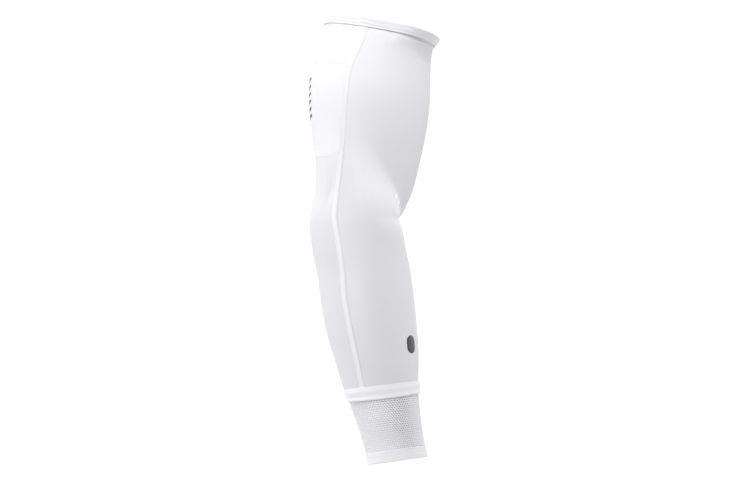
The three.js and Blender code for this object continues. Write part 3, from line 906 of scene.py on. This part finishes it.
class SLEEVE_OT_knit_panels(Operator):
    """Knits the front and back panels"""

    bl_idname = "sleeve.knit_panels"
    bl_label = "Knit the panels"

    def execute(self, context):
        front = panel_piece("front", FRONT_WIDTH, is_back=False)
        back = panel_piece("back", BACK_WIDTH, is_back=True)
        return {"FINISHED"}


def band_edge(edge, way, levels, is_open):
    """Points of a cross-section round one edge of a band, between the first and the last of four levels.

    A closed edge is turned over plainly. An open one has a slot between its middle levels.
    """
    first, near, far, last = levels
    if not is_open:
        return turned_edge((edge, first), (edge, last), way * TURN_CLOSED, 7)
    inside = edge - way * (TUCK_DEPTH + SLOT_SPARE)
    turns = (TURN_OUTSIDE, TURN_INSIDE) if way > 0 else (TURN_INSIDE, TURN_OUTSIDE)
    return [
        *turned_edge((edge, first), (edge, near), way * turns[0]),
        *run((edge, near), (inside, near), 3),
        *run((inside, far), (edge, far), 3),
        *turned_edge((edge, far), (edge, last), way * turns[1]),
    ]


def band_section(height, proud, rows, groove, roll, lip, slot_top, slot_bottom):
    """Cross-section of a doubled band as (down, offset) pairs, open where other cloth is tucked in."""
    inner = -PANEL_THICKNESS - BAND_EASE
    levels = (proud, SLOT_FACE, inner, inner - INNER_FLAP)
    section = []
    for down in np.linspace(0, height, steps(height, BAND_STEP) + 1):
        sewn = sum(groove * bump(down - row, GROOVE_BREADTH) for row in rows)
        crown = BAND_CROWN * math.sin(math.pi * down / height)
        edge = lip * bump(down - height + LIP_UP, LIP_BREADTH) + roll * bump(down - ROLL_DOWN, ROLL_BREADTH)
        section.append((down, proud + crown + edge - sewn))
    section += band_edge(height, 1, levels, slot_bottom)
    section += run((height, levels[-1]), (0, levels[-1]), steps(height, 3 * BAND_STEP))
    section += band_edge(0, -1, levels[::-1], slot_top)
    if len(section) % 2:
        section.insert(1, tuple((np.array(section[0]) + section[1]) / 2))
    return np.array(section)


def sewn_band(node, start, band, angles, cloth, slot_top=True, slot_bottom=True, ring=True):
    """One band: its doubled cloth, swept round the arm, and its rows of stitches."""
    height, proud, rows, groove, roll, lip, sag = band
    section = band_section(height, proud, rows, groove, roll, lip, slot_top, slot_bottom)
    down = (start + section[:, :1] * (1 + sag * np.sin(np.radians(angles)) ** 2)) / SLEEVE_LENGTH
    piece = swept(f"{node}_cloth", down, angles + 0 * down, section[:, 1:] + 0 * angles, cloth, ring=ring)
    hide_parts(node)
    first, last = (0, 360) if ring else (angles[0] + SEAM_MARGIN, angles[-1] - SEAM_MARGIN)
    sewing = settings()[1]
    paths = [level_path(start, first, last, proud, row, sag) for row in rows]
    sewn = [running_stitch(path, sewing.pitch, sewing.length) for path in paths]
    made = stitches(f"{node}_stitches", sewn, sewing.width, thread())
    return piece, made


class SLEEVE_OT_top_bands(Operator):
    """Turns and stitches the doubled band round the upper rim, in its two lengths"""

    bl_idname = "sleeve.top_bands"
    bl_label = "Bind the upper rim"

    def execute(self, context):
        cloth = jersey("rim_cloth", settings()[2].rim)
        seam = value_at("seam", np.array(0.01))
        for side, first, last in (("front", -seam, seam), ("back", seam, 360 - seam)):
            angles = np.linspace(first, last, steps((last - first) / 360 * RIM_GIRTH, RIM_STEP) + 1)
            piece, made = sewn_band(f"top_band_{side}", 0, TOP_BAND, angles, cloth,
                                    slot_top=False, ring=False)
        return {"FINISHED"}


def pocket_lift(down, angle):
    """How far the pocket's inner face stands off the panel: most in the middle of its open edge."""
    below = (down * SLEEVE_LENGTH - POCKET_DOWN) / POCKET_GAPE_REACH
    across = np.cos((np.pi / 2) * (angle - 180) / (180 - value_at("seam", down)))
    return POCKET_LIFT + POCKET_GAPE * np.maximum(1 - below, 0) ** 2 * np.maximum(across, 0)


def pocket_place(share, column):
    """Down and angle on the pocket, for shares from its open edge to its bottom and from seam to seam."""
    down = (POCKET_DOWN + POCKET_HEIGHT * share) / SLEEVE_LENGTH
    side = value_at("seam", down) + arc_of(TAPE_WIDTH / 2 - POCKET_UNDER_TAPE, down)
    angle = side + (360 - 2 * side) * column
    dip = POCKET_SCOOP / SLEEVE_LENGTH * np.sin(np.pi * column) * (1 - POCKET_SCOOP_LOSS * share)
    wave = POCKET_WAVE / SLEEVE_LENGTH * np.sin(np.pi * POCKET_HALF_WAVES * column + POCKET_WAVE_START)
    wave = wave * (1 - share) ** POCKET_WAVE_FADE
    return down + dip + wave, angle


def pocket_faces(share, column, down, angle):
    """Heights of the pocket's inner and outer faces, thin where its sides go under the tapes."""
    inner = pocket_lift(down, angle) - POCKET_SUNK
    length = share * POCKET_HEIGHT
    aside = np.minimum(column, 1 - column) * POCKET_WIDTH
    sewn = POCKET_SIDE_SHARE + (1 - POCKET_SIDE_SHARE) * eased(aside, 0, POCKET_SIDE_REACH)
    sewn = np.minimum(sewn, eased(POCKET_HEIGHT - length, *POCKET_END_REACH))
    rolled = POCKET_ROLL * np.exp(-length / POCKET_ROLL_REACH)
    groove = HEM_GROOVE * bump(length - HEM_GROOVE_DOWN, HEM_GROOVE_BREADTH)
    return inner, inner + POCKET_SUNK / 2 + (POCKET_THICKNESS - rolled - groove) * sewn


def on_pocket(share, column):
    """Down, angle and height of places on the pocket's outer face."""
    down, angle = pocket_place(share, column)
    return down, angle, pocket_faces(share, column, down, angle)[1]


class SLEEVE_OT_back_pocket(Operator):
    """Sews the patch pocket behind the upper arm"""

    bl_idname = "sleeve.back_pocket"
    bl_label = "Sew the pocket"

    def execute(self, context):
        _, sewing, colours = settings()
        hem = np.arange(0, POCKET_HEM, POCKET_HEM_STEP)
        body = np.linspace(POCKET_HEM, POCKET_HEIGHT, steps(POCKET_HEIGHT, POCKET_STEP))
        share = np.concatenate([hem, body])[:, None] / POCKET_HEIGHT
        column = np.linspace(0, 1, steps(POCKET_WIDTH, POCKET_COLUMN_STEP) + 1)[None, :]
        down, angle = pocket_place(share, column)
        inner, outer = pocket_faces(share, column, down, angle)
        cloth = jersey("pocket_cloth", colours.pocket, 0.9)
        piece = walled("back_pocket_cloth", down, angle, outer, inner, cloth)
        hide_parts("back_pocket")
        along = np.linspace(0.01, 0.99, POCKET_PLACES)
        path = path_on(*on_pocket(np.full_like(along, POCKET_SEWN_SHARE), along))
        rows = [running_stitch(path, sewing.pitch, sewing.length)]
        shares = np.linspace(*CORNER_TACK_SHARES, CORNER_TACK_COUNT)
        for columns in CORNER_TACK_COLUMNS:
            ends = (on_pocket(shares, np.full_like(shares, end)) for end in columns)
            rows.append(tuple(ends))
        made = stitches("back_pocket_stitches", rows, sewing.width, thread())
        return {"FINISHED"}


def tape_form(down, side, across):
    """How far a tape's foot lies over the panel, and its thickness, for shares across from -1 to 1."""
    length = down * SLEEVE_LENGTH
    over_pocket = eased(length, POCKET_DOWN - POCKET_SIDE_START, POCKET_DOWN + POCKET_SIDE_START)
    over_pocket = over_pocket - eased(length, POCKET_END - POCKET_SIDE_END, POCKET_END)
    thinned = (1 - TAPE_THIN * over_pocket) * (1 - TAPE_THIN * bump(down, TAPE_THIN_REACH))
    return TAPE_LIFT + POCKET_SIDE * over_pocket * (1 + side * across) / 2, TAPE_CROWN * thinned


# The tape's cross-section: shares of its half width and of its thickness.
TAPE_SECTION = np.array([
    (-1, 0), (-0.97, 0.4), (-0.86, 0.72), (-0.5, 0.92), (0, 1), (0.5, 0.92), (0.86, 0.72), (0.97, 0.4),
    (1, 0), (0.9, -0.04), (0.6, -0.04), (0.2, -0.04), (-0.2, -0.04), (-0.5, -0.04), (-0.75, -0.04),
    (-0.92, -0.04),
])


def seam_threads(path):
    """Stitches of the seam itself, inside the sleeve: a zigzag along a path."""
    at = np.arange(SEAM_START, path[3][-1] - SEAM_END, SEAM_PITCH)
    corners = [along_path(path, at + shift * SEAM_PITCH) for shift in (0, 0.5, 1)]
    rows = []
    for start, end, sign in ((corners[0], corners[1], 1), (corners[1], corners[2], -1)):
        reach = arc_of(SEAM_REACH, start[0]) * sign
        rows.append(((start[0], start[1] - reach, start[2]), (end[0], end[1] + reach, end[2])))
    return rows


class SLEEVE_OT_seam_tapes(Operator):
    """Lays and stitches the tapes over both long seams, with the seams' own threads inside"""

    bl_idname = "sleeve.seam_tapes"
    bl_label = "Tape the seams"

    def execute(self, context):
        _, sewing, colours = settings()
        top, bottom = TOP_BAND_HEIGHT - TUCK_DEPTH, WRIST_BAND_DOWN - TAPE_SHORT
        downs = np.linspace(top, bottom, steps(bottom - top, TAPE_STEP) + 1) / SLEEVE_LENGTH
        dense = np.linspace(TOP_BAND_HEIGHT, TAPE_SEWN_SHARE * WRIST_BAND_DOWN, TAPE_PLACES) / SLEEVE_LENGTH
        down = downs + 0 * TAPE_SECTION[:, :1]
        waves = 1 + TAPE_WAVE * np.sin(2 * np.pi * down * SLEEVE_LENGTH / TAPE_WAVE_PITCH)
        across = TAPE_SECTION[:, :1] * TAPE_WIDTH / 2 + 0 * down
        cloth = jersey("tape_cloth", colours.tape, 0.7, roughness=0.6)
        for name, side in (("outer_seam_tape", 1), ("inner_seam_tape", -1)):
            angle = side * value_at("seam", down) + arc_of(across, down)
            foot, crown = tape_form(down, side, TAPE_SECTION[:, :1])
            offset = foot + TAPE_SECTION[:, 1:] * crown * waves
            piece = swept(f"{name}_cloth", down, angle, offset, cloth, across=across)
            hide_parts(name)
            seam = side * value_at("seam", dense)
            rows = []
            for edge in (-1, 1):
                foot, crown = tape_form(dense, side, edge)
                aside = arc_of(edge * (TAPE_WIDTH / 2 - TAPE_STITCH_IN), dense)
                path = path_on(dense, seam + aside, foot + TAPE_STITCH_UP * crown)
                rows.append(running_stitch(path, sewing.pitch, sewing.length * 0.85))
            inside = np.full_like(dense, -PANEL_THICKNESS - SEAM_INSIDE)
            rows += seam_threads(path_on(dense, seam, inside))
            made = stitches(f"{name}_stitches", rows, sewing.width * 0.9, thread())
        return {"FINISHED"}


class SLEEVE_OT_wrist_band(Operator):
    """Turns and stitches the band between the panels and the net"""

    bl_idname = "sleeve.wrist_band"
    bl_label = "Sew the wrist band"

    def execute(self, context):
        cloth = jersey("band_cloth", settings()[2].band)
        angles = np.linspace(0, 360, WRIST_BAND_COLUMNS, endpoint=False)
        piece, made = sewn_band("wrist_band", WRIST_BAND_DOWN, WRIST_BAND, angles, cloth)
        return {"FINISHED"}


class SLEEVE_OT_lower_hem(Operator):
    """Turns and stitches the hem at the lower rim"""

    bl_idname = "sleeve.lower_hem"
    bl_label = "Hem the lower rim"

    def execute(self, context):
        cloth = jersey("band_cloth", settings()[2].band)
        angles = np.linspace(0, 360, CUFF_HEM_COLUMNS, endpoint=False)
        piece, made = sewn_band("wrist_hem", HEM_DOWN, CUFF_HEM, angles, cloth, slot_bottom=False)
        return {"FINISHED"}


# Corners of one cell of the net round its hole, as shares of the net's pitch and of a row's height.
CELL_CORNERS = np.array([
    (0.5, 0), (0.5, 1 / 3), (0.25, 0.5), (0, 2 / 3), (-0.25, 0.5), (-0.5, 1 / 3),
    (-0.5, 0), (-0.5, -1 / 3), (-0.25, -0.5), (0, -2 / 3), (0.25, -0.5), (0.5, -1 / 3),
])
# Whole numbers of parts that a cell's corners fall on, across and down.
CELL_PARTS = (12, 24)
NET_ROW_SHARE = 0.866
NET_ROUNDING = 0.12
NET_RECESS = 0.00035
OPEN_MEAN = 0.8
OPEN_SWING = 0.25
OPEN_TURN = 10
HOLE_LENGTH_SHARE = 1.15


class SLEEVE_OT_net_cuff(Operator):
    """Knits the net round the wrist, with its staggered holes"""

    bl_idname = "sleeve.net_cuff"
    bl_label = "Knit the net cuff"

    def execute(self, context):
        cloth, _, colours = settings()
        top, bottom = NET_DOWN - TUCK_DEPTH, HEM_DOWN + TUCK_DEPTH
        columns = int(round(NET_GIRTH / cloth.net_pitch))
        rows = steps(bottom - top, cloth.net_pitch * NET_ROW_SHARE)
        row, column = (grid.reshape(-1, 1) for grid in np.indices((rows, columns)))
        middle = np.stack([column + 0.5 * (row % 2), row + 0.5], axis=2)
        cell = middle + CELL_CORNERS
        number = np.arange(len(CELL_CORNERS))
        turn = 2 * np.pi * number / len(CELL_CORNERS)
        circle = np.stack([np.cos(turn), HOLE_LENGTH_SHARE * np.sin(turn)], axis=1)
        opened = OPEN_MEAN - OPEN_SWING * np.cos(np.radians(720 * middle[..., :1] / columns + OPEN_TURN))
        hole = middle + circle * opened * cloth.net_hole / cloth.net_pitch / 2

        # Cells share their corners with the cells beside them, and the last column meets the first.
        keys = np.round(cell * CELL_PARTS).astype(int)
        keys[..., 0] %= columns * CELL_PARTS[0]
        _, first, shared = np.unique(keys.reshape(-1, 2), axis=0, return_index=True, return_inverse=True)
        corners = np.concatenate([cell.reshape(-1, 2)[first], hole.reshape(-1, 2)])
        shared = shared.reshape(len(cell), -1)
        own = len(first) + np.arange(shared.size).reshape(shared.shape)
        sides = [shared, own, own + len(corners), shared + len(corners), shared]
        quads = [
            np.stack([near, np.roll(near, -1, axis=1), np.roll(far, -1, axis=1), far], axis=2)
            for near, far in zip(sides, sides[1:])
        ]
        at_bottom = (row == rows - 1) & (number >= 1) & (number <= 4)
        at_top = (row == 0) & (number >= 7) & (number <= 10)
        quads[-1] = quads[-1][at_bottom | at_top]
        faces = np.concatenate([quad.reshape(-1, 4) for quad in quads])

        rounding = np.where(np.arange(len(corners)) < len(first), 0, NET_ROUNDING)
        height = np.concatenate([-rounding, rounding - 1])
        corners = np.concatenate([corners, corners])
        angle = corners[:, 0] / columns * 360
        down = (top + np.clip(corners[:, 1], 0, rows) * (bottom - top) / rows) / SLEEVE_LENGTH
        recess = NET_RECESS * bump(down * SLEEVE_LENGTH - NET_DOWN - 0.0012, 0.003)
        offset = height * cloth.net_thickness - recess
        turned = angle[faces] / 360
        turned = np.where(turned.max(axis=1, keepdims=True) - turned > 0.5, turned + 1, turned)
        places = np.stack([turned * NET_KNIT_GIRTH, down[faces] * SLEEVE_LENGTH], axis=2)
        points, marks = surface(down, angle, offset), marks_at(down, angle)
        net = jersey("net_cloth", colours.net, 0.7)
        piece = finished("net_cuff_cloth", points, faces, places, marks, net)
        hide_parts("net_cuff")
        return {"FINISHED"}


def film_piece(node, down, angle, lift):
    """A thin printed shape: a grid of places with a softened edge, closed underneath."""
    rows, columns = down.shape
    from_edge = np.minimum(
        np.minimum(np.arange(rows), np.arange(rows)[::-1])[:, None],
        np.minimum(np.arange(columns), np.arange(columns)[::-1])[None, :],
    )
    outer = lift + np.where(from_edge == 0, FILM_EDGE, FILM_THICKNESS)
    film = once("print_film", film_material, settings()[2].print_film)
    piece = walled(f"{node}_film", down, angle, outer, lift + FILM_LIFT, film)
    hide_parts(node)


class SLEEVE_OT_reflective_prints(Operator):
    """Prints the six slanted dashes on the pocket and the bar near the wrist"""

    bl_idname = "sleeve.reflective_prints"
    bl_label = "Print the marks"

    def execute(self, context):
        row = np.linspace(-0.5, 0.5, DASH_GRID[0])[:, None]
        column = np.linspace(-0.5, 0.5, DASH_GRID[1])[None, :]
        for number in range(DASH_COUNT):
            middle = POCKET_DOWN + DASH_DOWN + number * DASH_PITCH
            height = DASH_HEIGHT + number * DASH_GROWTH
            taper = 1 - DASH_TAPER * np.abs(2 * column) ** DASH_TAPER_POWER
            across = DASH_WIDTH * column + 0 * row
            below = height * row * taper + across * math.tan(math.radians(DASH_SLANT))
            down = (middle + below) / SLEEVE_LENGTH
            angle = DASH_ANGLE + arc_of(across, np.full_like(down, middle / SLEEVE_LENGTH))
            lift = pocket_lift(down, angle) + POCKET_THICKNESS
            film_piece(f"reflective_dash_{number + 1}", down, angle, lift)
        radius = BAR_WIDTH / 2
        turn = np.linspace(0, np.pi, BAR_GRID[1])[None, :]
        reach = np.linspace(-1, 1, BAR_GRID[0])[:, None]
        half = BAR_HEIGHT / 2 - radius + radius * np.sin(turn)
        down = (BAR_DOWN + half * reach) / SLEEVE_LENGTH
        across = radius * np.cos(turn) + 0 * reach
        angle = BAR_ANGLE - arc_of(across, np.full_like(down, BAR_DOWN / SLEEVE_LENGTH))
        film_piece("reflective_bar", down, angle, 0 * down + BAR_LIFT)
        return {"FINISHED"}


LIGHT_AIM = (0, 0, -0.15)

# Soft lights. Columns: name, place, size and share of the key light's power.
SOFT_LIGHTS = (
    ("key_light", (0, -0.72, 0.52), 0.5, 1),
    ("left_light", (-2.4, -0.3, 0.5), 1.2, 3.15),
    ("right_light", (2.4, -0.3, -0.2), 1.2, 0.62),
    ("left_rim_light", (-2.3, 1.1, 0.6), 1.2, 1.8),
    ("right_rim_light", (2.3, 0.9, 0.1), 1.2, 1.9),
)
CAMERA_PLACE = (-0.00808, -1.7, -0.2014)
CAMERA_LENS = 85.9
FLOOR_CORNERS = 96
FLOOR_RADIUS = 1.25
FLOOR_UP = -0.66


def soft_light(name, place, size, power):
    """A round light of that size, turned to the middle of the sleeve."""
    light = bpy.data.lights.new(name, "AREA")
    light.shape = "DISK"
    light.size = size
    light.energy = power
    made = bpy.data.objects.new(name, light)
    made.location = place
    made.rotation_mode = "QUATERNION"
    made.rotation_quaternion = (Vector(LIGHT_AIM) - Vector(place)).to_track_quat("-Z", "Y")
    bpy.context.scene.collection.objects.link(made)


class SLEEVE_OT_stage(Operator):
    """Sets up the pale floor, the white surroundings, the soft lights and the camera"""

    bl_idname = "sleeve.stage"
    bl_label = "Set the stage"

    def execute(self, context):
        stage = context.scene.sleeve_stage
        world = bpy.data.worlds.new("studio")
        context.scene.world = world
        world.use_nodes = True
        tree = world.node_tree
        looking = tree.nodes.new("ShaderNodeTexCoord")
        towards = tree.nodes.new("ShaderNodeVectorMath")
        towards.operation = "DOT_PRODUCT"
        towards.inputs[1].default_value = (0, 1, 0)
        brightness = tree.nodes.new("ShaderNodeMapRange")
        brightness.interpolation_type = "SMOOTHSTEP"
        limits = {"From Min": -0.1, "From Max": 0.8, "To Min": stage.fill, "To Max": stage.backdrop}
        for socket, value in limits.items():
            brightness.inputs[socket].default_value = value
        tree.links.new(looking.outputs["Generated"], towards.inputs[0])
        tree.links.new(towards.outputs["Value"], brightness.inputs["Value"])
        tree.links.new(brightness.outputs["Result"], tree.nodes["Background"].inputs["Strength"])
        tree.nodes["Background"].inputs["Color"].default_value = (1, 1, 1, 1)
        turns = np.linspace(0, 2 * np.pi, FLOOR_CORNERS, endpoint=False)
        ring = [(FLOOR_RADIUS * math.cos(turn), FLOOR_RADIUS * math.sin(turn), FLOOR_UP) for turn in turns]
        mesh = bpy.data.meshes.new("floor")
        mesh.from_pydata(ring, [], [tuple(range(len(ring)))])
        floor = bpy.data.objects.new("floor", mesh)
        context.scene.collection.objects.link(floor)
        nodes = Nodes("floor")
        nodes.put(nodes.shader.inputs["Base Color"], full(stage.floor))
        nodes.shader.inputs["Roughness"].default_value = 0.9
        mesh.materials.append(nodes.material)
        for name, place, size, share in SOFT_LIGHTS:
            soft_light(name, place, size, share * stage.key)
        camera = bpy.data.objects.new("camera", bpy.data.cameras.new("camera"))
        camera.location = CAMERA_PLACE
        camera.rotation_euler = (math.radians(90), 0, 0)
        camera.data.lens = CAMERA_LENS
        camera.data.sensor_width = 36
        camera.data.clip_end = 50
        context.scene.collection.objects.link(camera)
        context.scene.camera = camera
        context.scene.view_settings.view_transform = "Standard"
        return {"FINISHED"}


BUILDERS = (
    SLEEVE_OT_seam_tapes,
    SLEEVE_OT_knit_panels,
    SLEEVE_OT_top_bands,
    SLEEVE_OT_back_pocket,
    SLEEVE_OT_wrist_band,
    SLEEVE_OT_net_cuff,
    SLEEVE_OT_lower_hem,
    SLEEVE_OT_reflective_prints,
    SLEEVE_OT_stage,
)
GROUPS = {
    "sleeve_cloth": SleeveCloth,
    "sleeve_thread": SleeveThread,
    "sleeve_colours": SleeveColours,
    "sleeve_stage": SleeveStage,
}


class SLEEVE_PT_sidebar(Panel):
    bl_idname = "SLEEVE_PT_sidebar"
    bl_label = "Arm sleeve"
    bl_space_type = "VIEW_3D"
    bl_region_type = "UI"
    bl_category = "Arm sleeve"

    def draw(self, context):
        for group, kind in GROUPS.items():
            box = self.layout.box()
            for name in kind.__annotations__:
                box.prop(getattr(context.scene, group), name)
        for builder in BUILDERS:
            self.layout.operator(builder.bl_idname)


def register():
    for group, kind in GROUPS.items():
        bpy.utils.register_class(kind)
        setattr(bpy.types.Scene, group, PointerProperty(type=kind))
    for kind in (*BUILDERS, SLEEVE_PT_sidebar):
        bpy.utils.register_class(kind)


def unregister():
    for kind in (SLEEVE_PT_sidebar, *reversed(BUILDERS)):
        bpy.utils.unregister_class(kind)
    for group, kind in GROUPS.items():
        delattr(bpy.types.Scene, group)
        bpy.utils.unregister_class(kind)


def main():
    register()
    for builder in BUILDERS:
        area, name = builder.bl_idname.split(".")
        getattr(getattr(bpy.ops, area), name)()


if __name__ == "__main__":
    main()
